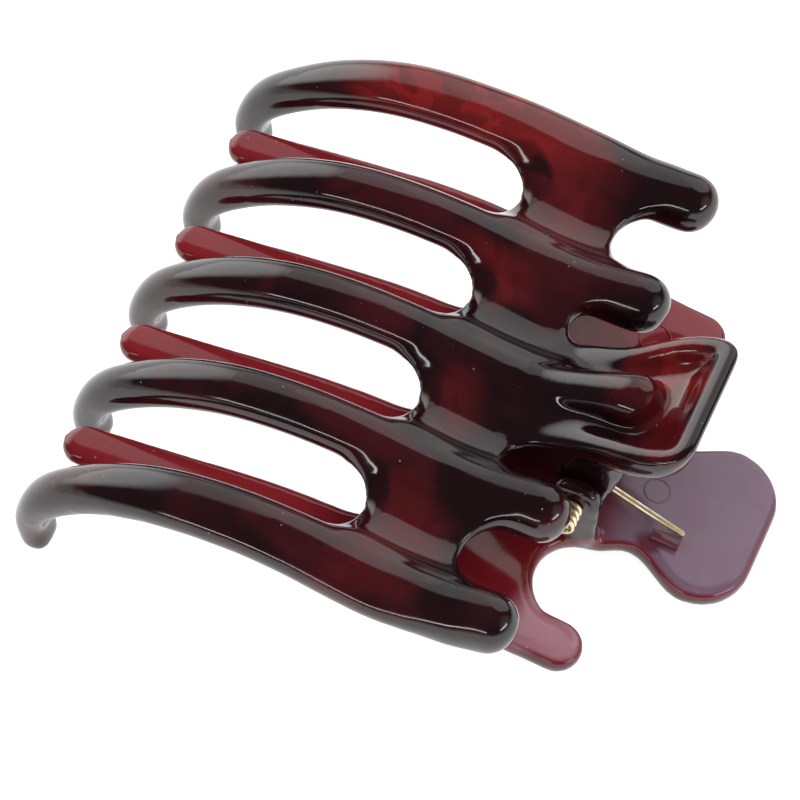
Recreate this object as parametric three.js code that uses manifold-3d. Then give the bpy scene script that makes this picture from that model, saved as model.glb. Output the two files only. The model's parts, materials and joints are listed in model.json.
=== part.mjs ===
// Large octopus claw clip: a five-prong front jaw and a four-prong rear jaw on one hinge pin,
// held shut by a torsion spring. Millimetres, +Z up, the clip lying as it rests on a table.
//
// Both jaws are drawn in the "jaw frame": X runs from the prong tips to the thumb pads, Y runs
// along the hinge, and Z = 0 is the inner face of the rear thumb pad. At the end of the file the
// whole clip is tilted about Y so that the front prong tips and the rear pad touch the table.

import * as THREE from "three";
import { mergeVertices } from "three/addons/utils/BufferGeometryUtils.js";
import Module from "manifold-3d";

const wasm = await Module();
wasm.setup();

// ---- driving dimensions ------------------------------------------------------------------------

const PITCH = 19;                 // spacing of the prongs along the hinge
const FRONT_PRONGS = [-2, -1, 0, 1, 2];
const REAR_PRONGS = [-1.5, -0.5, 0.5, 1.5];
const HINGE_X = -2;
const HINGE_Z = 8.3;              // hinge axis above the rear pad's inner face
const REST_TILT = 0.1868;         // radians that bring prong tips and rear pad level

const PRONG_WIDTH = 7.6;          // front prong, across
const PRONG_DEPTH = 5.6;          // front prong, through
const FRONT_SHEET = 2.8;          // wall of the front plate
const REAR_SHEET = 3.3;           // wall of the rear plate and prongs
const SLOT_RADIUS = 5.6;          // round root of the gap between two front prongs
const SLOT_ROOT_X = -28.2;
const SHOULDER_RADIUS = 5.7;      // round bite between an outer pair of knobs
const SHOULDER_X = -7.4;
const PAD_GAP_RADIUS = 3;         // narrow bite between the pad and a knob
const PAD_GAP_X = -10.3;
const KNOB_RADIUS = 4.2;
const KNOB_DEPTH = 1.15;          // a knob is this much deeper than it is wide
const TIP_LENGTH = 2.4;           // the round end beyond a prong's last section
const TIP_TAPER = 0.2;            // how much narrower a prong is at its tip
const OUTER_SWELL = 2.1;          // extra width on the outer side of the two end prongs

const NECK_HALF = 9.3;            // front pad, half width at its neck
const PAD_HALF = 11.7;            // front pad, half width at its flare
const PAD_END_X = 10.3;
const PAD_CORNER = 4;
const PAD_ROOT_X = -16;           // the pad runs this far back under the plate
const NECK_END_X = -5;            // where the neck begins to flare
const RIM_WIDTH = 2.6;            // raised border round the dished pad
const RIM_HEIGHT = 1.6;
const RIM_START_X = -6;
const RIM_LEAN = 0.5;             // how far the rim leans back for each millimetre of its height

const REAR_PAD_NECK = 9.3;
const REAR_PAD_HALF = 12.9;
const REAR_PAD_END = 24.9;
const REAR_PAD_CORNER = 8;
const REAR_SLOT_ROOT_X = -25;
const REAR_BITE_RADIUS = 6.9;     // round bite between rear pad and rear knob
const REAR_BITE_X = 4;
const REAR_BITE_Y = 18.4;
const REAR_TIP_X = -68.6;         // where a rear prong's round tip begins
const REAR_TIP_HALF = 3.1;
const REAR_ROOT_HALF = 4;
const REAR_KNOB_Y = 28.2;
const REAR_KNOB_HALF = 3.8;
const REAR_KNOB_START = -6;
const REAR_KNOB_END = 8.1;
const REAR_EDGE_CURVE_X = -10;    // where the plate's side edge bends out to the knob
const STOP_FROM = [10.2, -7.4];   // the small rib beside the spring leg, in X and Y
const STOP_TO = [14.3, -6];
const STOP_HEIGHT = 1.1;

const EAR_RADIUS = 4;
const REAR_EAR_INNER = 9.7;       // |Y| of the rear ears, outside the front ears
const REAR_EAR_OUTER = 12.3;
const FRONT_EAR_INNER = 6.8;
const FRONT_EAR_OUTER = 9.3;
const FRONT_EAR_WEB = [[-6, HINGE_Z], [2, HINGE_Z], [3.4, 19.5], [-9, 14]];
const REAR_EAR_WEB = [[-7.5, -0.6], [3, -0.6], [2, HINGE_Z], [-6, HINGE_Z]];
const BORE_RADIUS = 1.5;
const PIN_RADIUS = 1.15;
const PIN_FAR_END = 13;
const PIN_NEAR_END = -12.7;
const PIN_RIBS = 4;
const PIN_RIB_PITCH = 0.95;
const PIN_RIB_HEIGHT = 0.55;

const WIRE_RADIUS = 0.46;
const COIL_RADIUS = 2.75;         // to the middle of the wire
const COIL_HALF = 4.6;
const COIL_TURNS = 8;
const LEG_END_X = 13.7;
const REAR_LEG_SLOPE = -0.285;    // radians
const FRONT_LEG_SLOPE = 0.62;
const FRONT_LEG_LENGTH = 14;
const LEG_GAP = 0.3;              // between the coil's last turn and the front leg

const CUT_BELOW = -30;            // plan outlines reach past everything they cut
const CUT_ABOVE = 60;
const SLOT_RUN = 12;              // how far a bite runs on past its round root
const NOTCH_RUN = 20;
const REAR_BITE_RUN = 3;
const BORE_OVERRUN = 1;
const WELD = 1e-4;

// ---- helpers -----------------------------------------------------------------------------------

function solid(geometry) {
  const bare = geometry.index ? geometry : geometry.clone();
  bare.deleteAttribute("normal");
  bare.deleteAttribute("uv");
  const merged = mergeVertices(bare, WELD);
  return new wasm.Manifold(new wasm.Mesh({
    numProp: 3,
    vertProperties: new Float32Array(merged.attributes.position.array),
    triVerts: new Uint32Array(merged.index.array),
  }));
}

function part(name, manifold, color, roughness, metalness) {
  const mesh = manifold.getMesh();
  const geometry = new THREE.BufferGeometry();
  geometry.setAttribute("position", new THREE.BufferAttribute(mesh.vertProperties, 3));
  geometry.setIndex(new THREE.BufferAttribute(mesh.triVerts, 1));
  geometry.computeVertexNormals();
  const material = new THREE.MeshStandardMaterial({ color, roughness, metalness });
  const result = new THREE.Mesh(geometry, material);
  result.name = name;
  return result;
}

// a side profile in X and Z, extruded along Y
function sideways(points, fromY, toY) {
  const shape = new THREE.Shape(points.map(([x, z]) => new THREE.Vector2(x, z)));
  const geometry = new THREE.ExtrudeGeometry(shape, { depth: toY - fromY, bevelEnabled: false });
  geometry.rotateX(Math.PI / 2);
  geometry.translate(0, toY, 0);
  return solid(geometry);
}

// a plan outline in X and Y, extruded along Z
function upright(shape, fromZ, toZ, curveSegments = 6) {
  const options = { depth: toZ - fromZ, bevelEnabled: false, curveSegments };
  const geometry = new THREE.ExtrudeGeometry(shape, options);
  geometry.translate(0, 0, fromZ);
  return solid(geometry);
}

function rod(radius, fromY, toY, x, z, sides = 20) {
  const geometry = new THREE.CylinderGeometry(radius, radius, toY - fromY, sides);
  geometry.translate(x, (fromY + toY) / 2, z);
  return solid(geometry);
}

function sweep(points, section, steps, adjust = (geometry) => geometry) {
  const stops = points.map((p) => new THREE.Vector3(...p));
  const extrudePath = new THREE.CatmullRomCurve3(stops, false, "centripetal");
  const options = { steps, bevelEnabled: false, extrudePath, curveSegments: 3 };
  return solid(adjust(new THREE.ExtrudeGeometry(section, options)));
}

function ellipse(halfWidth, halfDepth) {
  const shape = new THREE.Shape();
  shape.absellipse(0, 0, halfWidth, halfDepth, 0, Math.PI * 2);
  return shape;
}

// a smooth line through a few (x, z) points
function smooth(points, count) {
  const curve = new THREE.SplineCurve(points.map(([x, z]) => new THREE.Vector2(x, z)));
  return curve.getPoints(count).map((p) => [p.x, p.y]);
}

// the closed side profile of a sheet whose one face is the given line
function sheetProfile(line, thickness) {
  const back = line.map(([x, z], i) => {
    const [ax, az] = line[Math.max(i - 1, 0)];
    const [bx, bz] = line[Math.min(i + 1, line.length - 1)];
    const length = Math.hypot(bx - ax, bz - az);
    return [x + (bz - az) / length * thickness, z - (bx - ax) / length * thickness];
  });
  return [...line, ...back.reverse()];
}

// a bite into a plate: a round root that runs on towards +X (open = 1) or -X (open = -1)
function bite(radius, x, y, open, reach) {
  const shape = new THREE.Shape();
  shape.absarc(x, y, radius, open * Math.PI / 2, open * Math.PI / 2 + Math.PI, false);
  shape.lineTo(x + open * reach, y - open * radius);
  shape.lineTo(x + open * reach, y + open * radius);
  return upright(shape, CUT_BELOW, CUT_ABOVE, 10);
}

function joinAll(solids) {
  return solids.reduce((sum, next) => sum.add(next));
}

// ---- front jaw: five hooked prongs, a ribbed plate, four knobs and a dished thumb pad ------------

// outer face of the plate and pad, the run of a prong's middle, and where the ribs end, as (x, z)
const FRONT_LINE = [[-36, 13.9], [-28, 14], [-20, 13.6], [-14, 14.3], [-8, 16.4], [0, 21], [PAD_END_X, 28.3]];
const HOOK = [[-70, -18.8], [-71.2, -14], [-69.9, -7.9], [-65.9, -1.9], [-59.8, 4.2], [-52, 9], [-43, 11.8]];
const PRONG_ROOT = [[-33, 12.6], [-22, 12.2], [-13, 12.9]];
const KNOB_CENTRE = [-5.2, 15];
const SPINE_END = [-0.2, 20.2];
const SPINE_END_RADIUS = 3.5;

function padShape(inset) {
  const neck = NECK_HALF - inset;
  const flare = PAD_HALF - inset;
  const end = PAD_END_X - inset;
  const shape = new THREE.Shape();
  shape.moveTo(PAD_ROOT_X, -neck);
  shape.lineTo(NECK_END_X, -neck);
  shape.bezierCurveTo(NECK_END_X + 4, -neck, 1, -flare, end - PAD_CORNER, -flare);
  shape.quadraticCurveTo(end, -flare, end, -flare + PAD_CORNER);
  shape.lineTo(end, flare - PAD_CORNER);
  shape.quadraticCurveTo(end, flare, end - PAD_CORNER, flare);
  shape.bezierCurveTo(1, flare, NECK_END_X + 4, neck, NECK_END_X, neck);
  shape.lineTo(PAD_ROOT_X, neck);
  return shape;
}

function frontPlate() {
  const edge = 2 * PITCH;
  const sheet = sideways(sheetProfile(smooth(FRONT_LINE, 16), FRONT_SHEET), -edge, edge);
  const field = new THREE.Shape();
  field.moveTo(SLOT_ROOT_X - SLOT_RADIUS, -edge);
  field.lineTo(SHOULDER_X, -edge);
  field.lineTo(SHOULDER_X, edge);
  field.lineTo(SLOT_ROOT_X - SLOT_RADIUS, edge);
  let plate = sheet.intersect(upright(field, CUT_BELOW, CUT_ABOVE));
  for (const row of [-1.5, -0.5, 0.5, 1.5]) {
    plate = plate.subtract(bite(SLOT_RADIUS, SLOT_ROOT_X - SLOT_RADIUS, row * PITCH, -1, SLOT_RUN));
  }
  for (const side of [-1, 1]) {
    plate = plate.subtract(bite(SHOULDER_RADIUS, SHOULDER_X, side * 1.5 * PITCH, 1, NOTCH_RUN));
    const gapY = side * (NECK_HALF + PAD_GAP_RADIUS);
    plate = plate.subtract(bite(PAD_GAP_RADIUS, PAD_GAP_X, gapY, 1, NOTCH_RUN));
  }
  return plate.add(sheet.intersect(upright(padShape(0), CUT_BELOW, CUT_ABOVE)));
}

function padRim() {
  const line = smooth(FRONT_LINE, 16).filter(([x]) => x > RIM_START_X);
  const raised = line.map(([x, z]) => [x - RIM_HEIGHT * RIM_LEAN, z + RIM_HEIGHT]);
  const tall = sideways(sheetProfile(raised, RIM_HEIGHT + FRONT_SHEET / 2), -PAD_HALF, PAD_HALF);
  const middle = upright(padShape(RIM_WIDTH), CUT_BELOW - 1, CUT_ABOVE + 1);
  const band = upright(padShape(0), CUT_BELOW, CUT_ABOVE).subtract(middle);
  return tall.intersect(band);
}

// a prong narrows to its tip, and the two end prongs swell outwards beside the plate
function shapeProng(geometry, row) {
  const middle = row * PITCH;
  const positions = geometry.attributes.position;
  for (let i = 0; i < positions.count; i += 1) {
    const across = positions.getY(i) - middle;
    const run = THREE.MathUtils.smoothstep(positions.getX(i), HOOK[1][0], HOOK[4][0]);
    const swell = THREE.MathUtils.smoothstep(positions.getX(i), HOOK[3][0], SLOT_ROOT_X)
      * (1 - THREE.MathUtils.smoothstep(positions.getX(i), PRONG_ROOT[1][0], KNOB_CENTRE[0] + KNOB_RADIUS));
    const outer = Math.abs(row) === 2 && across * row > 0;
    const widening = outer ? swell * OUTER_SWELL / (PRONG_WIDTH / 2) : 0;
    positions.setY(i, middle + across * (1 - TIP_TAPER * (1 - run) + widening));
  }
  return geometry;
}

function prong(row, endPoint, endRadius) {
  const y = row * PITCH;
  const route = [...HOOK, ...PRONG_ROOT, endPoint].map(([x, z]) => [x, y, z]);
  const section = ellipse(PRONG_WIDTH / 2, PRONG_DEPTH / 2);
  const bar = sweep(route, section, 30, (geometry) => shapeProng(geometry, row));
  const tip = new THREE.SphereGeometry(1, 12, 8);
  tip.scale(PRONG_DEPTH / 2, PRONG_WIDTH / 2 * (1 - TIP_TAPER), TIP_LENGTH);
  tip.rotateY(Math.atan2(HOOK[1][0] - HOOK[0][0], HOOK[1][1] - HOOK[0][1]));
  tip.translate(HOOK[0][0], y, HOOK[0][1]);
  const end = new THREE.SphereGeometry(endRadius, 14, 10);
  end.scale(1, 1, KNOB_DEPTH);
  end.translate(endPoint[0], y, endPoint[1]);
  return joinAll([bar, solid(tip), solid(end)]);
}

function ear(side, inner, outer, profile) {
  const from = side > 0 ? inner : -outer;
  const to = side > 0 ? outer : -inner;
  return sideways(profile, from, to).add(rod(EAR_RADIUS, from, to, HINGE_X, HINGE_Z));
}

function frontJaw() {
  const pieces = [frontPlate(), padRim()];
  for (const row of FRONT_PRONGS) {
    const middle = row === 0;
    pieces.push(prong(row, middle ? SPINE_END : KNOB_CENTRE, middle ? SPINE_END_RADIUS : KNOB_RADIUS));
  }
  for (const side of [-1, 1]) {
    pieces.push(ear(side, FRONT_EAR_INNER, FRONT_EAR_OUTER, FRONT_EAR_WEB));
  }
  const reach = FRONT_EAR_OUTER + BORE_OVERRUN;
  const bore = rod(BORE_RADIUS, -reach, reach, HINGE_X, HINGE_Z);
  return joinAll(pieces).subtract(bore);
}

// ---- rear jaw: four straight prongs, a flat plate with two knobs and a flat thumb pad ------------

const REAR_LINE = [[REAR_PAD_END + 1, 0], [12, 0], [-4, 0], [-14, 1], [-26, 2.4], [-36, 2.2], [-48, -0.3],
  [-60, -3.4], [-74, -7.2]];

function rearPadShape() {
  const shape = new THREE.Shape();
  const flareX = REAR_PAD_END - REAR_PAD_CORNER;
  const base = REAR_BITE_Y - REAR_BITE_RADIUS;
  const baseX = REAR_BITE_X - 1;
  const neckX = REAR_BITE_X + 4;
  shape.moveTo(HINGE_X - EAR_RADIUS, -base);
  shape.lineTo(baseX, -base);
  shape.bezierCurveTo(baseX + 2, -base, neckX - 2, -REAR_PAD_NECK, neckX, -REAR_PAD_NECK);
  shape.bezierCurveTo(neckX + 2.5, -REAR_PAD_NECK, neckX + 3.5, -REAR_PAD_HALF, flareX, -REAR_PAD_HALF);
  shape.quadraticCurveTo(REAR_PAD_END, -REAR_PAD_HALF, REAR_PAD_END, -REAR_PAD_HALF + REAR_PAD_CORNER);
  shape.lineTo(REAR_PAD_END, REAR_PAD_HALF - REAR_PAD_CORNER);
  shape.quadraticCurveTo(REAR_PAD_END, REAR_PAD_HALF, flareX, REAR_PAD_HALF);
  shape.bezierCurveTo(neckX + 3.5, REAR_PAD_HALF, neckX + 2.5, REAR_PAD_NECK, neckX, REAR_PAD_NECK);
  shape.bezierCurveTo(neckX - 2, REAR_PAD_NECK, baseX + 2, base, baseX, base);
  shape.lineTo(HINGE_X - EAR_RADIUS, base);
  return shape;
}

// one rear prong in plan: a bar that narrows to a round tip
function rearProngShape(row) {
  const y = row * PITCH;
  const shape = new THREE.Shape();
  shape.moveTo(REAR_SLOT_ROOT_X, y - REAR_ROOT_HALF);
  shape.lineTo(REAR_SLOT_ROOT_X, y + REAR_ROOT_HALF);
  shape.lineTo(REAR_TIP_X, y + REAR_TIP_HALF);
  shape.absarc(REAR_TIP_X, y, REAR_TIP_HALF, Math.PI / 2, Math.PI * 1.5, false);
  return shape;
}

function rearKnobShape(side) {
  const y = side * REAR_KNOB_Y;
  const centre = REAR_KNOB_END - REAR_KNOB_HALF;
  const shape = new THREE.Shape();
  shape.moveTo(REAR_KNOB_START, y - REAR_KNOB_HALF);
  shape.lineTo(centre, y - REAR_KNOB_HALF);
  shape.absarc(centre, y, REAR_KNOB_HALF, -Math.PI / 2, Math.PI / 2, false);
  shape.lineTo(REAR_KNOB_START, y + REAR_KNOB_HALF);
  return shape;
}

function rearJaw() {
  const edge = 1.5 * PITCH + REAR_ROOT_HALF;
  const sheet = sideways(sheetProfile(smooth(REAR_LINE, 28), -REAR_SHEET), -edge, edge);
  const field = new THREE.Shape();
  const knobEdge = REAR_KNOB_Y + REAR_KNOB_HALF;
  field.moveTo(REAR_SLOT_ROOT_X - SLOT_RADIUS, -edge);
  field.lineTo(REAR_SLOT_ROOT_X, -edge);
  field.bezierCurveTo(REAR_EDGE_CURVE_X, -edge, REAR_EDGE_CURVE_X, -knobEdge, REAR_BITE_X, -knobEdge);
  field.lineTo(REAR_BITE_X, knobEdge);
  field.bezierCurveTo(REAR_EDGE_CURVE_X, knobEdge, REAR_EDGE_CURVE_X, edge, REAR_SLOT_ROOT_X, edge);
  field.lineTo(REAR_SLOT_ROOT_X - SLOT_RADIUS, edge);
  let plan = upright(field, CUT_BELOW, CUT_ABOVE);
  for (const row of [-1, 0, 1]) {
    plan = plan.subtract(bite(SLOT_RADIUS, REAR_SLOT_ROOT_X - SLOT_RADIUS, row * PITCH, -1, SLOT_RUN));
  }
  for (const side of [-1, 1]) {
    plan = plan.add(upright(rearKnobShape(side), CUT_BELOW, CUT_ABOVE));
    plan = plan.subtract(bite(REAR_BITE_RADIUS, REAR_BITE_X, side * REAR_BITE_Y, 1, REAR_BITE_RUN));
  }
  plan = plan.add(upright(rearPadShape(), CUT_BELOW, CUT_ABOVE));
  for (const row of REAR_PRONGS) {
    plan = plan.add(upright(rearProngShape(row), CUT_BELOW, CUT_ABOVE));
  }
  const pieces = [sheet.intersect(plan)];
  for (const side of [-1, 1]) {
    pieces.push(ear(side, REAR_EAR_INNER, REAR_EAR_OUTER, REAR_EAR_WEB));
  }
  const stop = new THREE.Shape();
  stop.moveTo(...STOP_FROM);
  stop.lineTo(STOP_TO[0], STOP_FROM[1]);
  stop.lineTo(...STOP_TO);
  stop.lineTo(STOP_FROM[0], STOP_TO[1]);
  pieces.push(upright(stop, -REAR_SHEET / 2, STOP_HEIGHT));
  const reach = REAR_EAR_OUTER + BORE_OVERRUN;
  const bore = rod(BORE_RADIUS, -reach, reach, HINGE_X, HINGE_Z);
  return joinAll(pieces).subtract(bore);
}

// ---- hinge pin and torsion spring ----------------------------------------------------------------

function hingePin() {
  const profile = [[0, PIN_FAR_END], [PIN_RADIUS, PIN_FAR_END], [PIN_RADIUS, PIN_NEAR_END]];
  for (let rib = 0; rib < PIN_RIBS; rib += 1) {
    const y = PIN_NEAR_END - rib * PIN_RIB_PITCH;
    profile.push([PIN_RADIUS + PIN_RIB_HEIGHT, y - PIN_RIB_PITCH / 2]);
    profile.push([PIN_RADIUS, y - PIN_RIB_PITCH]);
  }
  profile.push([0, PIN_NEAR_END - PIN_RIBS * PIN_RIB_PITCH]);
  const outline = profile.reverse().map(([radius, y]) => new THREE.Vector2(radius, y));
  const geometry = new THREE.LatheGeometry(outline, 16);
  geometry.translate(HINGE_X, 0, HINGE_Z);
  return solid(geometry);
}

// where a straight leg of the given slope (radians) leaves the coil, above (1) or below (-1) the pin
function tangentPoint(slope, side) {
  return [HINGE_X - side * Math.sin(slope) * COIL_RADIUS, HINGE_Z + side * Math.cos(slope) * COIL_RADIUS];
}

function coilPoint(angle, y) {
  return [HINGE_X + Math.sin(angle) * COIL_RADIUS, y, HINGE_Z + Math.cos(angle) * COIL_RADIUS];
}

function springCoil() {
  const points = [];
  const startAngle = Math.PI + REAR_LEG_SLOPE;
  const perTurn = 12;
  const count = COIL_TURNS * perTurn + 3;
  for (let i = count; i >= 0; i -= 1) {
    points.push(coilPoint(startAngle + i / perTurn * Math.PI * 2, -COIL_HALF + i / count * 2 * COIL_HALF));
  }
  const [startX, startZ] = tangentPoint(REAR_LEG_SLOPE, -1);
  const run = LEG_END_X - startX;
  for (const share of [0.12, 0.5, 1]) {
    points.push([startX + share * run, -COIL_HALF, startZ + share * run * Math.tan(REAR_LEG_SLOPE)]);
  }
  return sweep(points, ellipse(WIRE_RADIUS, WIRE_RADIUS), points.length * 2);
}

function springFrontLeg() {
  const [startX, startZ] = tangentPoint(FRONT_LEG_SLOPE, 1);
  const y = COIL_HALF + 2 * WIRE_RADIUS + LEG_GAP;
  const reach = (share) => [
    startX + share * FRONT_LEG_LENGTH * Math.cos(FRONT_LEG_SLOPE), y,
    startZ + share * FRONT_LEG_LENGTH * Math.sin(FRONT_LEG_SLOPE)];
  return sweep([reach(-0.1), reach(0.3), reach(0.7), reach(1)], ellipse(WIRE_RADIUS, WIRE_RADIUS), 6);
}

// ---- assembly ------------------------------------------------------------------------------------

const TORTOISE = 0x3d0b12;
const GOLD = 0xc9a75a;

const clip = new THREE.Group();
clip.add(part("front_jaw", frontJaw(), TORTOISE, 0.12, 0));
clip.add(part("rear_jaw", rearJaw(), TORTOISE, 0.12, 0));
clip.add(part("hinge_pin", hingePin(), GOLD, 0.25, 1));
clip.add(part("spring_coil", springCoil(), GOLD, 0.25, 1));
clip.add(part("spring_front_leg", springFrontLeg(), GOLD, 0.25, 1));
clip.rotation.y = REST_TILT;

// the origin is the middle of the clip's footprint, on the table
const group = new THREE.Group();
group.add(clip);
group.updateMatrixWorld(true);
const box = new THREE.Box3().setFromObject(clip, true);
const middle = box.getCenter(new THREE.Vector3());
clip.position.set(-middle.x, 0, -box.min.z);

export default group;
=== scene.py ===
"""Large octopus claw clip: two moulded tortoiseshell jaws on a gold pin, held shut by a torsion spring.

Shapes are drawn in millimetres in the jaw frame: X from the prong tips to the thumb pads, Y along the
hinge and Z = 0 at the inner face of the rear pad. JAW_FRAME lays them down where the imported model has
the jaws.
"""

import json
import math
from bisect import bisect

import bmesh
import bpy
from mathutils import Matrix, Quaternion, Vector


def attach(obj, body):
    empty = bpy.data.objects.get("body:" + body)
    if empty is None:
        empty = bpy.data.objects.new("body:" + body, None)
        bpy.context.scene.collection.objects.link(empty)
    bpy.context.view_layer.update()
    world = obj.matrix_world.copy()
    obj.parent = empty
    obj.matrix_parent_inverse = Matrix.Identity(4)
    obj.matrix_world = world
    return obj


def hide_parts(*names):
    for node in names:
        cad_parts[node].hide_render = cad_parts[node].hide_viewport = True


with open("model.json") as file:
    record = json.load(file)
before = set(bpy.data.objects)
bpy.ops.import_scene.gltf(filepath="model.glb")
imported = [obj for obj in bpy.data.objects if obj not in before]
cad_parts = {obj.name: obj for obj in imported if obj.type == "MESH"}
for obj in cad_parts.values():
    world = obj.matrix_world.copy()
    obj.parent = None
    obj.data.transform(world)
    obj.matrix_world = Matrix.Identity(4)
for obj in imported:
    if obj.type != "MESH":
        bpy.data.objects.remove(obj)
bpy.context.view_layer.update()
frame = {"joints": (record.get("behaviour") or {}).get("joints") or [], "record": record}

# ---- driving dimensions, in millimetres ----------------------------------------------------------

MM = 0.001
PITCH = 19.0
HINGE = Vector((-2.0, 0.0, 8.3))

SLOT_RADIUS = 5.6
SLOT_ROOT_X = -28.2
SHOULDER_RADIUS = 5.7
SHOULDER_X = -7.4
PAD_GAP_RADIUS = 3.0
PAD_GAP_X = -10.3
NECK_HALF = 9.3
PAD_HALF = 11.7
PAD_END_X = 10.3
PAD_CORNER = 4.0
FRONT_SHEET = 2.8
FRONT_LINE = [(-36, 13.9), (-28, 14), (-20, 13.6), (-14, 14.3), (-8, 16.4), (0, 21), (10.3, 28.3)]

REAR_SHEET = 3.3
REAR_LINE = [(-74, -7.2), (-60, -3.4), (-48, -0.3), (-36, 2.2), (-26, 2.4), (-14, 1), (-4, 0), (12, 0),
             (26.5, 0)]
REAR_SLOT_ROOT_X = -25.0
REAR_BITE_X = 4.0
REAR_BITE_Y = 18.4
REAR_BITE_RADIUS = 6.9
REAR_PAD_NECK = 9.3
REAR_PAD_HALF = 12.9
REAR_PAD_END = 24.9
REAR_PAD_CORNER = 8.0
REAR_EDGE = 32.0
REAR_KNOB_Y = 28.2
REAR_KNOB_HALF = 3.8
REAR_KNOB_END = 8.1

EAR_RADIUS = 4.0
REAR_EAR = (9.7, 12.3)
FRONT_EAR = (6.8, 9.3)

VOXEL = 0.44
SMOOTHING = 12

joint = frame["joints"][0]
rest_normal = Vector(frame["record"]["mounts"][0]["axis"])
TILT = math.atan2(-rest_normal.x, -rest_normal.z)
JAW_FRAME = (Matrix.Translation(Vector(joint["pos_m"])) @ Matrix.Rotation(TILT, 4, "Y")
             @ Matrix.Scale(MM, 4) @ Matrix.Translation(-HINGE))


# ---- curves --------------------------------------------------------------------------------------

def through(points, share):
    """The point at a share of the way along a smooth curve through all the points."""
    points = [Vector(p) for p in points]
    at = min(max(share, 0.0), 1.0) * (len(points) - 1)
    i = min(int(at), len(points) - 2)
    t = at - i
    before = points[i - 1] if i else points[0] * 2 - points[1]
    after = points[i + 2] if i + 2 < len(points) else points[-1] * 2 - points[-2]
    a, b = points[i], points[i + 1]
    return 0.5 * (2 * a + (b - before) * t + (2 * before - 5 * a + 4 * b - after) * t ** 2
                  + (3 * a - before - 3 * b + after) * t ** 3)


class Profile:
    """Height of a smooth line as a function of x."""

    def __init__(self, line, samples=240):
        self.points = [through(line, i / samples) for i in range(samples + 1)]
        self.stops = [p.x for p in self.points]

    def __call__(self, x):
        i = min(max(bisect(self.stops, x), 1), len(self.stops) - 1)
        a, b = self.points[i - 1], self.points[i]
        return a.y + (b.y - a.y) * (x - a.x) / (b.x - a.x)


front_height = Profile(FRONT_LINE)
rear_height = Profile(REAR_LINE)


def ramp(value, low, high):
    """0 below low, 1 above high and a smooth step between."""
    t = min(max((value - low) / (high - low), 0.0), 1.0)
    return t * t * (3 - 2 * t)


def keyed(keys, share):
    """A value read off (share, value) keys with smooth steps between them."""
    for (a, low), (b, high) in zip(keys, keys[1:]):
        if share <= b:
            return low + (high - low) * ramp(share, a, b)
    return keys[-1][1]


def chord(radius, off):
    """How far a circle reaches at a distance off from its centre line."""
    return math.sqrt(max(radius ** 2 - off ** 2, 0.0))


# ---- solids --------------------------------------------------------------------------------------

def ring_edges(verts):
    own = set(verts)
    return list({edge for v in verts for edge in v.link_edges if edge.other_vert(v) in own})


def loft(bm, stations, segments=32):
    """Rings bridged into a closed bar. A station is a place, the half sizes to the left, right, top and
    bottom, and a squareness for the upper half and one for the lower."""
    rings = []
    for i, (place, left, right, top, bottom, square) in enumerate(stations):
        ends = i in (0, len(stations) - 1)
        ring = bmesh.ops.create_circle(bm, cap_ends=ends, segments=segments, radius=1.0)["verts"]
        for v in ring:
            power = 2 / (square[0] if v.co.y > 0 else square[1])
            across = math.copysign(abs(v.co.x) ** power, v.co.x)
            up = math.copysign(abs(v.co.y) ** power, v.co.y)
            wide = right if across > 0 else left
            high = top if up > 0 else bottom
            v.co = place @ Vector((across * wide, up * high, 0))
        rings.append(ring)
    for a, b in zip(rings, rings[1:]):
        bmesh.ops.bridge_loops(bm, edges=ring_edges(a) + ring_edges(b))


DOME_ANGLES = (4, 15, 30, 45, 60, 75)
NOSE_STEPS = ((0.95, 0.3), (0.7, 0.72), (0.35, 0.94))
FLAT_CAP_POWER = 0.3


def bar(bm, route, y, left, right, top, bottom, square=(2.0, 2.0), caps=(1.0, 1.0), steps=80,
        flat_caps=False):
    """A bar in the plane Y = y with keyed half sizes and round ends. caps are the reach of the ends
    over their half width, and flat_caps keeps the ends' thickness."""
    points = [through(route, i / steps) for i in range(steps + 1)]
    rows = []
    for i, p in enumerate(points):
        run = (points[min(i + 1, steps)] - points[max(i - 1, 0)]).normalized()
        rows.append((p, run, i / steps, 1.0))
    dome = [math.radians(a) for a in DOME_ANGLES]
    half = (keyed(left, 0) + keyed(right, 0)) / 2
    start = [(points[0] - rows[0][1] * half * caps[0] * math.cos(a), rows[0][1], 0.0, math.sin(a))
             for a in dome]
    half = (keyed(left, 1) + keyed(right, 1)) / 2
    finish = [(points[-1] + rows[-1][1] * half * caps[1] * math.cos(a), rows[-1][1], 1.0, math.sin(a))
              for a in dome]
    stations = []
    for p, run, share, scale in start + rows + finish[::-1]:
        place = Matrix(((0, -run.y, run.x, p.x), (1, 0, 0, y), (0, run.x, run.y, p.y), (0, 0, 0, 1)))
        deep = scale ** FLAT_CAP_POWER if flat_caps else scale
        stations.append((place, keyed(left, share) * scale, keyed(right, share) * scale,
                         keyed(top, share) * deep, keyed(bottom, share) * deep, square))
    loft(bm, stations)


def wire(bm, points, radius, segments=14):
    """A round wire through the points with a rounded nose at each end."""
    points = [Vector(p) for p in points]
    last = len(points) - 1
    runs = [(points[min(i + 1, last)] - points[max(i - 1, 0)]).normalized() for i in range(last + 1)]
    path = [(points[0] - runs[0] * radius * reach, runs[0], scale) for reach, scale in NOSE_STEPS]
    path += [(p, run, 1.0) for p, run in zip(points, runs)]
    path += [(points[-1] + runs[-1] * radius * reach, runs[-1], scale) for reach, scale in NOSE_STEPS[::-1]]
    side = Vector((0, 1, 0)) if abs(runs[0].y) < 0.9 else Vector((1, 0, 0))
    stations = []
    for p, run, scale in path:
        side = (side - run * side.dot(run)).normalized()
        place = Matrix.Translation(p) @ Matrix((side, run.cross(side), run)).transposed().to_4x4()
        stations.append((place, *[radius * scale] * 4, (2.0, 2.0)))
    loft(bm, stations, segments)


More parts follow.
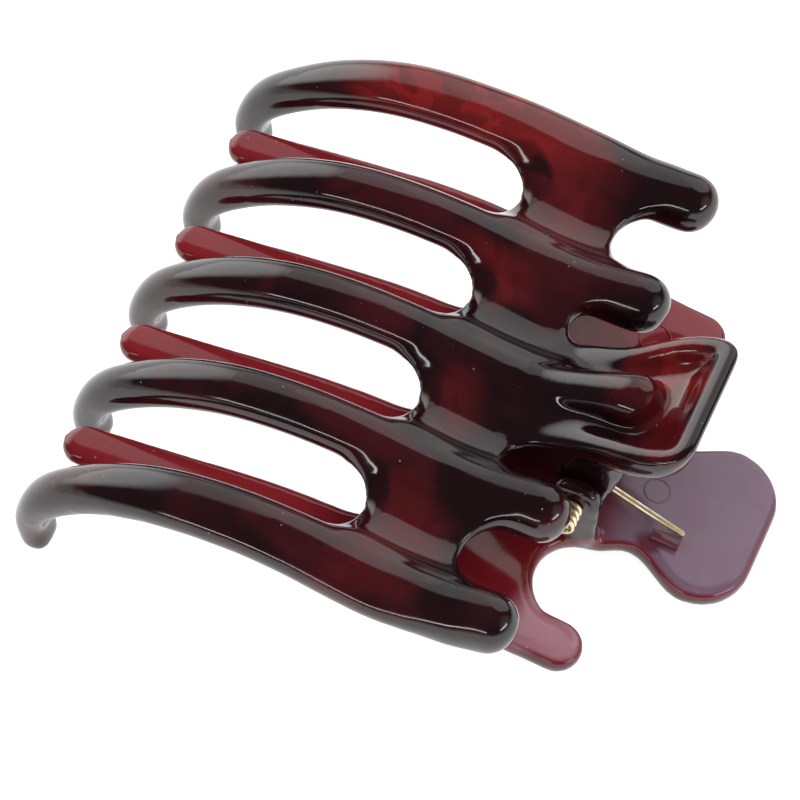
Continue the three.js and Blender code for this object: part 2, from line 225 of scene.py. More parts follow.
def turned(bm, profile, steps=56):
    """A solid turned about the hinge line from (radius, y) points."""
    points = [bm.verts.new((HINGE.x + radius, y, HINGE.z)) for radius, y in profile]
    edges = [bm.edges.new(pair) for pair in zip(points, points[1:])]
    bmesh.ops.spin(bm, geom=points + edges, cent=HINGE, axis=(0, 1, 0), angle=2 * math.pi, steps=steps,
                   use_merge=True)
    bmesh.ops.remove_doubles(bm, verts=bm.verts, dist=0.001)
    bmesh.ops.recalc_face_normals(bm, faces=bm.faces)


def lip(inset, radius=0.95):
    """How far a face drops towards an edge that is rounded over."""
    return radius - chord(radius, radius - inset) if inset < radius else 0.0


def sheet(bm, columns, rows, place, wall):
    """A grid laid on place(u, v) with its wall hanging below it, closed all round."""
    grid = bmesh.ops.create_grid(bm, x_segments=columns, y_segments=rows, size=0.5)["verts"]
    for v in grid:
        v.co = place(v.co.x + 0.5, v.co.y + 0.5)
    faces = list({face for v in grid for face in v.link_faces})
    extruded = bmesh.ops.extrude_face_region(bm, geom=faces, use_keep_orig=True)["geom"]
    for v in (item for item in extruded if isinstance(item, bmesh.types.BMVert)):
        v.co.z -= wall(v.co.x, v.co.y)


def prism(bm, outline, from_y, to_y):
    """A side outline in X and Z, extruded along the hinge."""
    face = bm.faces.new([bm.verts.new((x, from_y, z)) for x, z in outline])
    extruded = bmesh.ops.extrude_face_region(bm, geom=[face], use_keep_orig=True)["geom"]
    moved = [item for item in extruded if isinstance(item, bmesh.types.BMVert)]
    bmesh.ops.translate(bm, verts=moved, vec=(0, to_y - from_y, 0))


def drum(bm, radius, from_y, to_y, segments=48):
    """A short cylinder round the hinge line."""
    place = Matrix.Translation((HINGE.x, (from_y + to_y) / 2, HINGE.z)) @ Matrix.Rotation(math.pi / 2, 4, "X")
    bmesh.ops.create_cone(bm, cap_ends=True, segments=segments, radius1=radius, radius2=radius,
                          depth=abs(to_y - from_y), matrix=place)


def ear(bm, side, reach, web):
    """One hinge ear without a bore: the pin runs through solid plastic."""
    low, high = sorted((side * reach[0], side * reach[1]))
    prism(bm, web, low, high)
    drum(bm, EAR_RADIUS, low, high)


def finish_piece(name, bm, body, nodes, material):
    """Turns a bmesh drawn in the jaw frame into a smooth-shaded piece on its body."""
    bmesh.ops.transform(bm, matrix=JAW_FRAME, verts=bm.verts)
    mesh = bpy.data.meshes.new(name)
    bm.to_mesh(mesh)
    bm.free()
    mesh.shade_smooth()
    piece = bpy.data.objects.new(name, mesh)
    bpy.context.scene.collection.objects.link(piece)
    mesh.materials.append(material)
    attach(piece, body)
    if nodes:
        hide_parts(*nodes)
    return piece


def moulded(bm):
    """One moulding out of overlapping solids: voxel remesh, then smoothing, which leaves soft fillets."""
    bmesh.ops.recalc_face_normals(bm, faces=bm.faces)
    mesh = bpy.data.meshes.new("blank")
    bm.to_mesh(mesh)
    bm.free()
    blank = bpy.data.objects.new("blank", mesh)
    bpy.context.scene.collection.objects.link(blank)
    remesh = blank.modifiers.new("skin", "REMESH")
    remesh.mode = "VOXEL"
    remesh.voxel_size = VOXEL
    skin = blank.evaluated_get(bpy.context.evaluated_depsgraph_get()).to_mesh()
    result = bmesh.new()
    result.from_mesh(skin)
    bpy.data.objects.remove(blank)
    bpy.data.meshes.remove(mesh)
    for _ in range(SMOOTHING):
        bmesh.ops.smooth_vert(result, verts=result.verts, factor=0.5, use_axis_x=True, use_axis_y=True,
                              use_axis_z=True)
    return result


# ---- front jaw -----------------------------------------------------------------------------------

HOOK = [(-70, -18.8), (-71.2, -14), (-69.9, -7.9), (-65.9, -1.9), (-59.8, 4.2), (-52, 9), (-43, 11.8)]
PRONG_ROOT = [(-33, 12.9), (-22, 12.7), (-13, 13.4)]
KNOB_CENTRE = (-5.4, 15.2)
SPINE_END = (-0.2, 21.1)
RIM_HEIGHT = 2.2
RIM_WIDTH = 3.4
DISH_DEPTH = 1.5
WEB_SINK = 1.2
WEB_BELOW = 0.6
SCOOP_DEPTH = 2.0
SCOOP_WIDTH = 2.9


def front_prong(bm, row):
    route = [*HOOK, *PRONG_ROOT, SPINE_END if row == 0 else KNOB_CENTRE]
    plain = [(0, 3.0), (0.25, 3.5), (0.45, 3.8), (0.9, 3.8), (1, 4.15)]
    swollen = [(0, 3.0), (0.25, 3.7), (0.6, 5.2), (0.8, 5.9), (0.93, 4.9), (1, 4.3)]
    top = [(0, 2.5), (0.3, 2.8), (0.8, 2.9), (1, 3.9)]
    bottom = [(0, 2.5), (0.3, 2.8), (0.8, 3.0), (1, 4.2)]
    if row == 0:
        top = [(0, 2.5), (0.3, 2.8), (0.8, 2.9), (1, 3.6)]
        plain = [(0, 3.0), (0.25, 3.5), (0.45, 3.8), (0.85, 3.6), (0.95, 3.5), (1, 3.9)]
    left = swollen if row == -2 else plain
    right = swollen if row == 2 else plain
    bar(bm, route, row * PITCH, left, right, top, bottom, square=(2.1, 3.2), caps=(0.8, 1.0))


def pad_half(x):
    flare = NECK_HALF + (PAD_HALF - NECK_HALF) * ramp(x, -6, 5)
    corner = PAD_CORNER - chord(PAD_CORNER, x - (PAD_END_X - PAD_CORNER)) if x > PAD_END_X - PAD_CORNER else 0
    return flare - corner


def front_top(x, y):
    """Outer face of the plate: webs that rise into the ribs, with scooped edges at the slot roots."""
    to_rib = abs(y - PITCH * round(y / PITCH))
    fillet = 1.1 * (1 - ramp(to_rib, 3.2, 5.6)) - WEB_SINK * ramp(to_rib, 3.6, 9.5)
    slot_y = PITCH * (math.floor(y / PITCH) + 0.5)
    from_slot = math.hypot(x - (SLOT_ROOT_X - SLOT_RADIUS), y - slot_y) - SLOT_RADIUS
    scoop = SCOOP_DEPTH * (1 - ramp(from_slot, -0.6, SCOOP_WIDTH))
    if y * y < (2 * PITCH) ** 2 and abs(slot_y) > PITCH:
        from_notch = math.hypot(x - SHOULDER_X, y - slot_y) - SHOULDER_RADIUS
    else:
        from_notch = math.hypot(x - PAD_GAP_X, abs(y) - NECK_HALF - PAD_GAP_RADIUS) - PAD_GAP_RADIUS
    scoop = max(scoop, 0.8 * lip(from_notch, 1.3))
    return front_height(x) + (0 if abs(y) > 2 * PITCH else fillet) * (1 - ramp(x, -12, -4)) - scoop


def front_plate(bm):
    for row in (-1.5, -0.5, 0.5, 1.5):
        middle = row * PITCH

        def place(u, v):
            y = middle + (u - 0.5) * PITCH
            left = SLOT_ROOT_X - SLOT_RADIUS + chord(SLOT_RADIUS, y - middle)
            if abs(row) > 1:
                right = SHOULDER_X - chord(SHOULDER_RADIUS, y - middle)
            else:
                right = PAD_GAP_X - chord(PAD_GAP_RADIUS, abs(y) - NECK_HALF - PAD_GAP_RADIUS)
            x = left + (right - left) * v
            return Vector((x, y, front_top(x, y)))

        sheet(bm, 48, 56, place, lambda x, y: front_top(x, y) - front_height(x) + FRONT_SHEET + WEB_BELOW)


def front_pad(bm):
    start = PAD_GAP_X - 4

    def rise(x, y):
        inset = min(pad_half(x) - abs(y), PAD_END_X - x)
        rim = RIM_HEIGHT * (1 - ramp(inset, RIM_WIDTH * 0.75, RIM_WIDTH * 1.2)) * ramp(x, -9, 3)
        dish = DISH_DEPTH * ramp(inset, RIM_WIDTH * 0.8, RIM_WIDTH * 1.6) * ramp(x, -6, 1)
        joining = (front_top(x, y) - front_height(x)) * (1 - ramp(x, -12.5, -7))
        return joining + rim - dish - lip(inset, 1.4) * ramp(x, -12, -8)

    def place(u, v):
        x = start + (PAD_END_X - start) * math.sin(v * math.pi / 2)
        y = (2 * u - 1) * pad_half(x)
        return Vector((x, y, front_height(x) + rise(x, y)))

    def wall(x, y):
        inset = min(pad_half(x) - abs(y), PAD_END_X - x)
        return rise(x, y) + FRONT_SHEET + WEB_BELOW - lip(inset, 1.0) * ramp(x, -12, -8)

    sheet(bm, 64, 84, place, wall)


def front_jaw(material):
    bm = bmesh.new()
    front_plate(bm)
    front_pad(bm)
    for row in (-2, -1, 0, 1, 2):
        front_prong(bm, row)
    web = [(-6, HINGE.z), (2, HINGE.z), (3.4, 20.5), (-9, 14.4)]
    for side in (-1, 1):
        ear(bm, side, FRONT_EAR, web)
    skin = moulded(bm)
    return finish_piece("moulded_front_jaw", skin, "front_half", ["front_jaw"], material)


# ---- rear jaw ------------------------------------------------------------------------------------

def rear_prong(bm, row):
    middle = -REAR_SHEET / 2
    route = [(x, rear_height(x) + middle) for x in (-68.6, -60, -50, -40, -30, -20, -10)]
    half = [(0, 3.1), (0.7, 3.9), (1, 4)]
    wall = [(0, REAR_SHEET / 2), (1, REAR_SHEET / 2)]
    bar(bm, route, row * PITCH, half, half, wall, wall, square=(4.0, 4.0), caps=(1.0, 0.2), flat_caps=True)


def rear_plate(bm):
    def place(u, v):
        y = (2 * u - 1) * REAR_EDGE
        slot_y = PITCH * round(y / PITCH)
        left = REAR_SLOT_ROOT_X - SLOT_RADIUS
        if abs(slot_y) < 1.5 * PITCH:
            left += chord(SLOT_RADIUS, y - slot_y)
        right = REAR_BITE_X - chord(REAR_BITE_RADIUS, abs(y) - REAR_BITE_Y)
        x = left + (right - left) * v
        return Vector((x, y, rear_height(x) - edge_drop(x, y)))

    def edge_drop(x, y):
        slot = math.hypot(x - REAR_SLOT_ROOT_X + SLOT_RADIUS, y - PITCH * round(y / PITCH)) - SLOT_RADIUS
        bite = math.hypot(x - REAR_BITE_X, abs(y) - REAR_BITE_Y) - REAR_BITE_RADIUS
        return lip(min(slot if abs(y) < 1.5 * PITCH else 9, bite, REAR_EDGE - abs(y)))

    sheet(bm, 170, 70, place, lambda x, y: REAR_SHEET - 2 * edge_drop(x, y))


def rear_pad_half(x):
    base = REAR_BITE_Y - REAR_BITE_RADIUS
    half = base + (REAR_PAD_NECK - base) * ramp(x, REAR_BITE_X - 1, REAR_BITE_X + 4)
    half += (REAR_PAD_HALF - REAR_PAD_NECK) * ramp(x, REAR_BITE_X + 4, REAR_PAD_END - REAR_PAD_CORNER)
    knee = REAR_PAD_END - REAR_PAD_CORNER
    return half - (REAR_PAD_CORNER - chord(REAR_PAD_CORNER, x - knee) if x > knee else 0)


def rear_pad(bm):
    def place(u, v):
        x = -6 + (REAR_PAD_END + 6) * math.sin(v * math.pi / 2)
        y = math.sin((u - 0.5) * math.pi) * rear_pad_half(x)
        return Vector((x, y, rear_height(x) - edge_drop(x, y)))

    def edge_drop(x, y):
        return lip(min(rear_pad_half(x) - abs(y) if x > REAR_BITE_X - 1 else 9, REAR_PAD_END - x))

    sheet(bm, 64, 90, place, lambda x, y: REAR_SHEET - 2 * edge_drop(x, y))


def rear_knob(bm, side):
    centre = REAR_KNOB_END - REAR_KNOB_HALF

    def place(u, v):
        x = -6 + (REAR_KNOB_END + 6) * math.sin(v * math.pi / 2)
        half = chord(REAR_KNOB_HALF, x - centre) if x > centre else REAR_KNOB_HALF
        y = side * REAR_KNOB_Y + math.sin((u - 0.5) * math.pi) * half
        return Vector((x, y, rear_height(x) - edge_drop(x, y)))

    def edge_drop(x, y):
        off = abs(y - side * REAR_KNOB_Y)
        return lip(REAR_KNOB_HALF - (math.hypot(off, x - centre) if x > centre else off if x > 0 else 0))

    sheet(bm, 30, 50, place, lambda x, y: REAR_SHEET - 2 * edge_drop(x, y))


def rear_jaw(material):
    bm = bmesh.new()
    rear_plate(bm)
    rear_pad(bm)
    for row in (-1.5, -0.5, 0.5, 1.5):
        rear_prong(bm, row)
    web = [(-7.5, -0.6), (3, -0.6), (2, HINGE.z), (-6, HINGE.z)]
    for side in (-1, 1):
        rear_knob(bm, side)
        ear(bm, side, REAR_EAR, web)
    skin = moulded(bm)
    return finish_piece("moulded_rear_jaw", skin, "rear_half", ["rear_jaw"], material)


# ---- spring, pin and small moulded details -------------------------------------------------------

WIRE_RADIUS = 0.46
COIL_RADIUS = 2.75
COIL_HALF = 4.6
COIL_TURNS = 8
STEPS_PER_TURN = 26
LEG_END_X = 13.7
REAR_LEG_SLOPE = -0.285
FRONT_LEG_SLOPE = 0.62
FRONT_LEG_LENGTH = 14.0
LEG_CLEARANCE = 0.3
PIN_RADIUS = 1.15
PIN_FAR_END = 13.0
PIN_NEAR_END = -15.9
PIN_NOSE = 0.35
PIN_STEP_Y = -12.6
PIN_STEP = 0.15
END_TURNS = 4
END_TURNS_START = -12.65
END_TURN_PITCH = 0.95
END_WIRE_RADIUS = 0.36
STOP_CENTRE = (11.9, -6.6, 0.35)
STOP_SIZE = (4.3, 1.5, 1.7)
STOP_ROUNDING = 0.28
MARK_THICKNESS = 0.15
MARK_SINK = 0.06
MARK_STEPS = 48


def leaves_coil(slope, side):
    """Where a straight leg of that slope leaves the coil, above (1) or below (-1) the pin."""
    return HINGE.x - side * math.sin(slope) * COIL_RADIUS, HINGE.z + side * math.cos(slope) * COIL_RADIUS


def spring_coil(material):
    bm = bmesh.new()
    count = COIL_TURNS * STEPS_PER_TURN
    points = []
    for i in range(count + 1):
        turn = math.pi + REAR_LEG_SLOPE + i / STEPS_PER_TURN * 2 * math.pi
        y = -COIL_HALF + 2 * COIL_HALF * i / count
        points.append((HINGE.x + math.sin(turn) * COIL_RADIUS, y, HINGE.z + math.cos(turn) * COIL_RADIUS))
    x, z = leaves_coil(REAR_LEG_SLOPE, -1)
    run = LEG_END_X - x
    leg = [(x + run * share, -COIL_HALF, z + run * share * math.tan(REAR_LEG_SLOPE))
           for share in (1, 0.75, 0.5, 0.25, 0.08)]
    wire(bm, leg + points, WIRE_RADIUS)
    return finish_piece("spring_coil_wire", bm, "rear_half", ["spring_coil"], material)


def spring_front_leg(material):
    bm = bmesh.new()
    x, z = leaves_coil(FRONT_LEG_SLOPE, 1)
    y = COIL_HALF + 2 * WIRE_RADIUS + LEG_CLEARANCE
    reach = (FRONT_LEG_LENGTH * math.cos(FRONT_LEG_SLOPE), FRONT_LEG_LENGTH * math.sin(FRONT_LEG_SLOPE))
    leg = [(x + reach[0] * share, y, z + reach[1] * share) for share in (-0.1, 0.2, 0.5, 0.75, 1)]
    wire(bm, leg, WIRE_RADIUS)
    return finish_piece("spring_front_leg_wire", bm, "front_half", ["spring_front_leg"],
                        material)


def hinge_pin(material):
    bm = bmesh.new()
    turned(bm, [(0, PIN_FAR_END), (PIN_RADIUS - PIN_NOSE, PIN_FAR_END),
                (PIN_RADIUS - 0.1, PIN_FAR_END - 0.1), (PIN_RADIUS, PIN_FAR_END - PIN_NOSE),
                (PIN_RADIUS, -12.4), (PIN_RADIUS - PIN_STEP, PIN_STEP_Y),
                (PIN_RADIUS - PIN_STEP, PIN_NEAR_END + PIN_NOSE), (PIN_RADIUS - 0.5, PIN_NEAR_END),
                (0, PIN_NEAR_END)])
    return finish_piece("gold_hinge_pin", bm, "rear_half", ["hinge_pin"], material)


def pin_end_turns(material):
    """Tight turns of thin wire round the pin just outside the near lug."""
    bm = bmesh.new()
    count = END_TURNS * STEPS_PER_TURN
    points = []
    for i in range(count + 1):
        turn = i / STEPS_PER_TURN * 2 * math.pi
        y = END_TURNS_START - END_TURN_PITCH * i / STEPS_PER_TURN
        radius = PIN_RADIUS + 0.18 - 0.25 * max(i / count - 0.75, 0)
        points.append((HINGE.x + math.sin(turn) * radius, y, HINGE.z + math.cos(turn) * radius))
    wire(bm, points, END_WIRE_RADIUS, segments=10)
    return finish_piece("pin_end_turns", bm, "rear_half", ["hinge_pin"], material)


def spring_stop(material):
    """The small rib on the rear pad that keeps the spring leg from sliding sideways."""
    bm = bmesh.new()
    place = Matrix.Translation(STOP_CENTRE) @ Matrix.Diagonal((*STOP_SIZE, 1))
    bmesh.ops.create_cube(bm, size=1.0, matrix=place)
    bmesh.ops.bevel(bm, geom=bm.edges[:], offset=STOP_ROUNDING, offset_type="OFFSET", segments=4, profile=0.5,
                    affect="EDGES", material=-1)
    return finish_piece("spring_stop_rib", bm, "rear_half", ["rear_jaw"], material)


def ejector_mark(name, centre, radius, material):
    """The faint ring that a round ejector leaves in the inner face."""
    bm = bmesh.new()
    ring = bmesh.ops.create_circle(bm, segments=10, radius=MARK_THICKNESS)["verts"]
    bmesh.ops.rotate(bm, verts=ring, cent=(0, 0, 0), matrix=Matrix.Rotation(math.pi / 2, 3, "X"))
    bmesh.ops.translate(bm, verts=ring, vec=Vector(centre) + Vector((radius, 0, -MARK_SINK)))
    bmesh.ops.spin(bm, geom=bm.verts[:] + bm.edges[:], cent=centre, axis=(0, 0, 1), angle=2 * math.pi,
                   steps=MARK_STEPS, use_merge=True)
    bmesh.ops.recalc_face_normals(bm, faces=bm.faces)
    return finish_piece(name, bm, "rear_half", ["rear_jaw"], material)


# ---- finishes ------------------------------------------------------------------------------------

def node(tree, kind, sockets=None, **settings):
    """A node with its settings, and its sockets set to a value or linked to another node's output."""
    made = tree.nodes.new(kind)
    for key, value in settings.items():
        setattr(made, key, value)
    for key, value in (sockets or {}).items():
        if isinstance(value, bpy.types.NodeSocket):
            tree.links.new(value, made.inputs[key])
        else:
            made.inputs[key].default_value = value
    return made


def span(tree, value, low, high, to_low=0.0, to_high=1.0):
    """A value turned into a smooth step between low and high."""
    return node(tree, "ShaderNodeMapRange", {"Value": value, "From Min": low, "From Max": high,
                                             "To Min": to_low, "To Max": to_high},
                interpolation_type="SMOOTHSTEP").outputs[0]


def noise(tree, where, scale, detail=2.0, distortion=0.0):
    return node(tree, "ShaderNodeTexNoise", {"Vector": where, "Scale": scale, "Detail": detail,
                                             "Distortion": distortion}).outputs[0]


def blend(tree, factor, below, above):
    """Two colours mixed by a factor; each may be a colour or an output."""
    mixed = node(tree, "ShaderNodeMix", {0: factor}, data_type="RGBA")
    for index, colour in ((6, below), (7, above)):
        if isinstance(colour, bpy.types.NodeSocket):
            tree.links.new(colour, mixed.inputs[index])
        else:
            mixed.inputs[index].default_value = (*colour, 1)
    return mixed.outputs[2]


def times(tree, a, b):
    return node(tree, "ShaderNodeMath", {0: a, 1: b}, operation="MULTIPLY").outputs[0]


def wandering(tree, where, scale, reach):
    """The same coordinates pushed about by slow noise, so that the borders of a pool of colour wander."""
    push = node(tree, "ShaderNodeTexNoise", {"Vector": where, "Scale": scale, "Detail": 1.0}).outputs[1]
    centred = node(tree, "ShaderNodeVectorMath", {0: push, 1: (0.5, 0.5, 0.5)},
                   operation="SUBTRACT").outputs[0]
    scaled = node(tree, "ShaderNodeVectorMath", {0: centred, 3: reach}, operation="SCALE").outputs[0]
    return node(tree, "ShaderNodeVectorMath", {0: where, 1: scaled}, operation="ADD").outputs[0]


def pool(tree, where, centre, reach, edge):
    """1 inside an ellipsoid that lies square to the jaw and 0 outside it, with a soft edge."""
    placed = node(tree, "ShaderNodeMapping", {"Vector": where, "Location": JAW_FRAME @ Vector(centre),
                                              "Rotation": (0, TILT, 0), "Scale": Vector(reach) * MM},
                  vector_type="TEXTURE").outputs[0]
    ball = node(tree, "ShaderNodeTexGradient", {"Vector": placed}, gradient_type="SPHERICAL").outputs[0]
    return span(tree, ball, 0.0, edge)


def jaw_height(tree, where):
    """Height above the inner face of the rear pad, in millimetres, measured square to that face."""
    placed = node(tree, "ShaderNodeMapping", {"Vector": where, "Location": JAW_FRAME @ Vector((0, 0, 0)),
                                              "Rotation": (0, TILT, 0), "Scale": (MM, MM, MM)},
                  vector_type="TEXTURE").outputs[0]
    return node(tree, "ShaderNodeSeparateXYZ", {0: placed}).outputs[2]


DUST = (0.42, 0.3, 0.3)
# Painted shade on the rear pad's side walls, in bands by height below its inner face in millimetres: dark red
# just below the rounded edge, near black lower down.
SIDE_SHADE_BANDS = ((-0.1, -0.45, (0.11, 0.006, 0.012)), (-0.5, -1.3, (0.022, 0.003, 0.006)))
SCRATCH_STRETCH = (260.0, 2100.0, 900.0)
GOLD_BRIGHT = (0.88, 0.78, 0.56)
GOLD_DULL = (0.72, 0.56, 0.3)


def polished_plastic(name, dark, warm, pools, mottling, side_shade=False):
    """Glossy tortoiseshell plastic: dark and warm clouds, pools of colour, faint flow marks and dust.
    The pools mix the plastic's own reds with painted light: a painted glow where light would shine
    through thin plastic, painted shade in recesses and between the jaws, and a painted mauve reflection
    on the rear pad. With the side bands on, the rear pad's side walls get painted shade below its
    inner face. A pool is (centre, reach, edge, tint, strength), with centre and reach in the jaw frame."""
    material = bpy.data.materials.new(name)
    material.use_nodes = True
    tree = material.node_tree
    shader = tree.nodes["Principled BSDF"]
    where = node(tree, "ShaderNodeTexCoord").outputs["Object"]
    wander = wandering(tree, where, 90.0, 0.007)
    clouds = span(tree, noise(tree, wander, 62.0, 3.0, 0.4), 0.44, 0.64)
    colour = blend(tree, clouds, dark, warm)
    speckle = span(tree, noise(tree, wander, 170.0, 2.0, 0.8), 0.56, 0.42)
    for centre, reach, edge, tint, strength in pools:
        inside = pool(tree, wander, centre, reach, edge)
        mottled = times(tree, inside, span(tree, speckle, 0.0, 1.0, strength * (1 - mottling), strength))
        colour = blend(tree, mottled, colour, tint)
    # Painted shade: the pad's side walls turn dark red and then near black below the inner face.
    if side_shade:
        height = jaw_height(tree, where)
        pads = span(tree, node(tree, "ShaderNodeSeparateXYZ", {0: where}).outputs[0], 0.022, 0.028)
        for high, low, tint in SIDE_SHADE_BANDS:
            drop = span(tree, height, high, low)
            colour = blend(tree, times(tree, times(tree, drop, pads), 0.93), colour, tint)
    dust = node(tree, "ShaderNodeTexVoronoi", {"Vector": where, "Scale": 520.0}).outputs[0]
    patch = span(tree, noise(tree, where, 110.0), 0.5, 0.62)
    specks = times(tree, span(tree, dust, 0.085, 0.05), patch)
    colour = blend(tree, times(tree, specks, 0.35), colour, DUST)
    tree.links.new(colour, shader.inputs["Base Color"])
    streaked = node(tree, "ShaderNodeMapping", {"Vector": where, "Scale": SCRATCH_STRETCH,
                                                "Rotation": (0.0, 0.0, 0.35)}).outputs[0]
    scratches = noise(tree, streaked, 1.0, 2.0)
    smear = span(tree, noise(tree, where, 150.0, 3.0), 0.35, 0.75, 0.07, 0.17)
    rough = node(tree, "ShaderNodeMath", {0: smear, 1: times(tree, specks, 0.35)}, operation="ADD").outputs[0]
    tree.links.new(rough, shader.inputs["Roughness"])
    flow = noise(tree, where, 210.0, 1.0)
    fine = node(tree, "ShaderNodeBump", {"Strength": 0.05, "Distance": 0.00003,
                                         "Height": scratches}).outputs[0]
    relief = node(tree, "ShaderNodeBump", {"Strength": 0.22, "Distance": 0.0002, "Height": flow,
                                           "Normal": fine})
    tree.links.new(relief.outputs[0], shader.inputs["Normal"])
    shader.inputs["IOR"].default_value = 1.5
    return material


def gold_plate(name):
    """Bright gold-plated steel wire with drawing marks along it and duller patches."""
    material = bpy.data.materials.new(name)
    material.use_nodes = True
    tree = material.node_tree
    shader = tree.nodes["Principled BSDF"]
    where = node(tree, "ShaderNodeTexCoord").outputs["Object"]
    tarnish = span(tree, noise(tree, where, 700.0, 3.0), 0.4, 0.7)
    colour = blend(tree, tarnish, GOLD_BRIGHT, GOLD_DULL)
    tree.links.new(colour, shader.inputs["Base Color"])
    tree.links.new(span(tree, tarnish, 0.0, 1.0, 0.3, 0.42), shader.inputs["Roughness"])
    drawn = node(tree, "ShaderNodeMapping", {"Vector": where, "Scale": (300.0, 6000.0, 6000.0)}).outputs[0]
    relief = node(tree, "ShaderNodeBump", {"Strength": 0.1, "Distance": 0.00001,
                                           "Height": noise(tree, drawn, 1.0)})
    tree.links.new(relief.outputs[0], shader.inputs["Normal"])
    shader.inputs["Metallic"].default_value = 1.0
    return material


# ---- light and camera ----------------------------------------------------------------------------

CAMERA_ANGLES = (23.415, 57.032, -0.305)    # azimuth, elevation and roll, in degrees
CAMERA_TARGET = Vector((-0.0039, -0.0065, 0.018))
CAMERA_DISTANCE = 0.61444
CAMERA_LENS = 194.73


def make_camera():
    azimuth, elevation, roll = (math.radians(a) for a in CAMERA_ANGLES)
    back = Vector((math.sin(azimuth) * math.cos(elevation), -math.cos(azimuth) * math.cos(elevation),
                   math.sin(elevation)))
    data = bpy.data.cameras.new("camera")
    data.lens = CAMERA_LENS
    data.sensor_width = 36
    data.clip_start = 0.05
    camera = bpy.data.objects.new("camera", data)
    bpy.context.scene.collection.objects.link(camera)
    camera.location = CAMERA_TARGET + back * CAMERA_DISTANCE
    camera.rotation_mode = "QUATERNION"
    camera.rotation_quaternion = (-back).to_track_quat("-Z", "Y") @ Quaternion((0, 0, 1), roll)
    bpy.context.scene.camera = camera


def softbox(name, place, target, size, power, color=(1, 1, 1)):
    light = bpy.data.lights.new(name, "AREA")
    light.shape = "RECTANGLE"
    light.size, light.size_y = size
    light.energy = power
    light.color = color
    lamp = bpy.data.objects.new(name, light)
    bpy.context.scene.collection.objects.link(lamp)
    lamp.location = place
    lamp.rotation_mode = "QUATERNION"
    lamp.rotation_quaternion = (Vector(target) - Vector(place)).to_track_quat("-Z", "Y")
    return lamp


def make_floor():
    """A pale sheet that glows a little, as a lit table does, so that it stays clean under the clip."""
    bm = bmesh.new()
    bmesh.ops.create_circle(bm, cap_ends=True, segments=96, radius=1.6)
    mesh = bpy.data.meshes.new("floor")
    bm.to_mesh(mesh)
    bm.free()
    floor = bpy.data.objects.new("floor", mesh)
    bpy.context.scene.collection.objects.link(floor)
    floor.location.z = -0.0003
    material = bpy.data.materials.new("lit_table")
    material.use_nodes = True
    shader = material.node_tree.nodes["Principled BSDF"]
    shader.inputs["Base Color"].default_value = (0.6, 0.6, 0.6, 1)
    shader.inputs["Roughness"].default_value = 0.9
    shader.inputs["Emission Color"].default_value = (1, 1, 1, 1)
    shader.inputs["Emission Strength"].default_value = 0.86
    mesh.materials.append(material)


# Each lobe of light: direction, inner and outer angle of its soft edge in degrees, and strength.
LOBES = (((0.17, 0.80, 0.574), 25.5, 28.5, 1.45), ((-0.32, 0.74, 0.59), 23.0, 28.0, 1.15),
         ((-0.82, 0.50, 0.27), 14.0, 32.0, 3.0), ((0.9, 0.1, 0.42), 8.0, 30.0, 0.6))


def make_world():
    """A dark studio with four soft lobes of light and a pale horizon."""
    world = bpy.data.worlds.new("studio")
    bpy.context.scene.world = world
    world.use_nodes = True
    tree = world.node_tree
    ray = node(tree, "ShaderNodeTexCoord").outputs["Generated"]
    tree.nodes["Background"].inputs["Color"].default_value = (1, 1, 1, 1)
    light = 0.07
    for towards, inner, outer, power in LOBES:
        facing = node(tree, "ShaderNodeVectorMath", {0: ray, 1: Vector(towards).normalized()},
                      operation="DOT_PRODUCT").outputs["Value"]
        lobe = span(tree, facing, math.cos(math.radians(outer)), math.cos(math.radians(inner)), 0.0, power)
        light = node(tree, "ShaderNodeMath", {0: light, 1: lobe}, operation="MAXIMUM").outputs[0]
    height = node(tree, "ShaderNodeSeparateXYZ", {0: ray}).outputs[2]
    horizon = span(tree, height, 0.16, 0.04, 0.0, 1.0)
    light = node(tree, "ShaderNodeMath", {0: light, 1: horizon}, operation="MAXIMUM").outputs[0]
    tree.links.new(light, tree.nodes["Background"].inputs["Strength"])


bpy.context.scene.view_settings.view_transform = "Standard"
make_camera()
make_floor()
make_world()
fill = softbox("overhead_fill", (0.15, -0.1, 0.9), (0, 0, 0), (0.8, 0.8), 9)
fill.visible_glossy = False
softbox("near_strip", (-0.12, -0.62, 0.24), (0, 0, 0.01), (0.62, 0.05), 1.1)
softbox("side_strip", (0.55, -0.12, 0.2), (0, 0, 0.01), (0.3, 0.06), 0.6)

BLACK = (0.0075, 0.0022, 0.0032)
OXBLOOD = (0.03, 0.0035, 0.005)
# Crimson serves two things: the plastic's own red, and painted light shining through thin plastic.
CRIMSON = (0.17, 0.0095, 0.009)
GARNET = (0.075, 0.0045, 0.006)
# Painted reflection: the milky mauve haze on the rear pad's inner face.
MAUVE_HAZE = (0.135, 0.085, 0.125)
# Painted reflection: the pink haze on the near knob of the rear jaw.
ROSE_HAZE = (0.28, 0.125, 0.16)

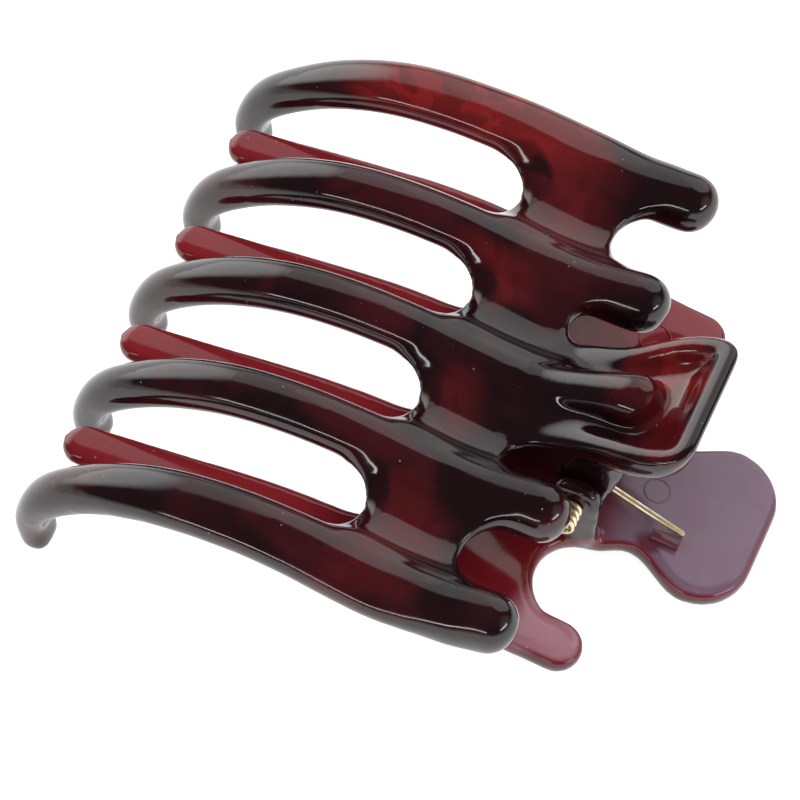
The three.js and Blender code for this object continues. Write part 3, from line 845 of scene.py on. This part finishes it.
front_finish = polished_plastic("tortoise_front", BLACK, OXBLOOD, [
    # Partly the plastic's own red, partly painted light shining through the thin prongs and plate.
    ((-43, 38, 15), (30, 12, 10), 0.5, CRIMSON, 0.85),
    ((-31, 31, 14), (10, 8, 6), 0.6, CRIMSON, 0.5),
    ((-23, 28, 14), (12, 9, 6), 0.6, GARNET, 0.9),
    ((-27, 13, 14), (9, 7, 6), 0.5, GARNET, 0.9),
    ((-44, 19, 13), (14, 6, 7), 0.6, OXBLOOD, 0.9),
    ((-24, -9, 14), (9, 7, 6), 0.6, GARNET, 0.55),
    ((-22, -28, 14), (9, 7, 6), 0.5, GARNET, 0.6),
    ((-29, -38, 12), (17, 8, 6), 0.5, GARNET, 0.5),
    # Partly the plastic's own red, partly painted light shining through the thin dish of the pad.
    ((4, 5, 23), (11, 10, 7), 0.4, CRIMSON, 0.75),
    ((7, -7, 25), (7, 6, 6), 0.5, GARNET, 0.9),
    ((-3, 0, 24.5), (9, 6, 4), 0.4, BLACK, 0.9),
    # Painted shade: near black in the scooped slot roots.
    *[((-30.5, row * PITCH, 13), (5.8, 7, 8), 0.2, BLACK, 0.9) for row in (-1.5, -0.5, 0.5, 1.5)],
    ((11.5, 0, 30.5), (5.2, 17, 5), 0.5, BLACK, 0.95),
    ((3, -12.5, 24), (11, 4.5, 8), 0.5, BLACK, 0.95)], mottling=0.4)
rear_finish = polished_plastic("tortoise_rear", (0.07, 0.004, 0.007), (0.12, 0.007, 0.01), [
    # Painted light: the thin rear tines glow bright red where light would shine through them.
    ((-52, 0, -2), (32, 60, 16), 0.4, (0.19, 0.012, 0.016), 0.85),
    # Painted shade: darker oxblood on the rear plate under the hinge and spring, between the jaws.
    ((-8, 0, 0), (14, 16, 9), 0.5, OXBLOOD, 0.9),
    ((-1, 29, 0), (14, 12, 6), 0.5, (0.17, 0.013, 0.02), 0.9),
    # Painted reflection: milky mauve haze over the rear pad's inner face.
    ((15, 0, 0), (16, 21, 5), 0.45, MAUVE_HAZE, 0.97),
    # Painted reflection: pink haze on the near knob of the rear jaw.
    ((3, -27.5, 0), (9, 7, 4), 0.5, ROSE_HAZE, 0.9),
    # Painted shade: the hinge ears, tucked under the front jaw, near black.
    ((-2, -11, 8), (11, 8, 9.5), 0.3, BLACK, 0.98),
    ((-2, 11, 8), (11, 8, 9.5), 0.3, BLACK, 0.98),
    # Painted shade: the stop rib darkened to garnet, which also keeps the rear pad's painted haze off it.
    ((11.9, -6.9, 0.8), (4.5, 2.4, 1.6), 0.5, GARNET, 0.8)], mottling=0.08, side_shade=True)
gold = gold_plate("gold_wire")

front_jaw(front_finish)
rear_jaw(rear_finish)
spring_stop(rear_finish)
ejector_mark("ejector_mark_pad", (8.0, 0.6, 0.0), 1.9, rear_finish)
ejector_mark("ejector_mark_wing", (-1.7, 23.8, 0.0), 2.4, rear_finish)
spring_coil(gold)
spring_front_leg(gold)
hinge_pin(gold)
pin_end_turns(gold)
